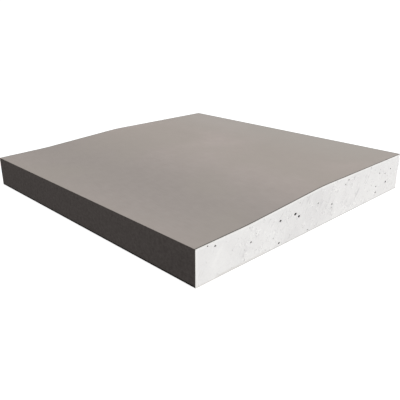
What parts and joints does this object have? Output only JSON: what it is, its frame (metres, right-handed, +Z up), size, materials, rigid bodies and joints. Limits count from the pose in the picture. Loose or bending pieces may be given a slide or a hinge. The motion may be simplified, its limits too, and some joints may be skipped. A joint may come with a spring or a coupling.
{
  "type": "gypsum plasterboard",
  "caption": "Square sample of tapered-edge gypsum plasterboard: white gypsum core, grey face paper wrapped round the bound edge, lapped back paper.",
  "frame": {"origin": "middle of the underside, on the surface that the board lies on", "axes": "+X across the board from the bound edge to the cut side, +Y along the bound edge, +Z up, out of the face"},
  "size_m": [0.099, 0.1014, 0.0125],
  "materials": {
    "gypsum": "matt white aerated gypsum plaster, cut smooth",
    "face_liner": "matt grey liner paper, darker on the bound edge",
    "back_liner": "matt pale grey liner paper"
  },
  "bodies": {
    "root": {"gypsum_core": "gypsum", "face_paper": "face_liner", "back_paper": "back_liner"}
  },
  "joints": []
}
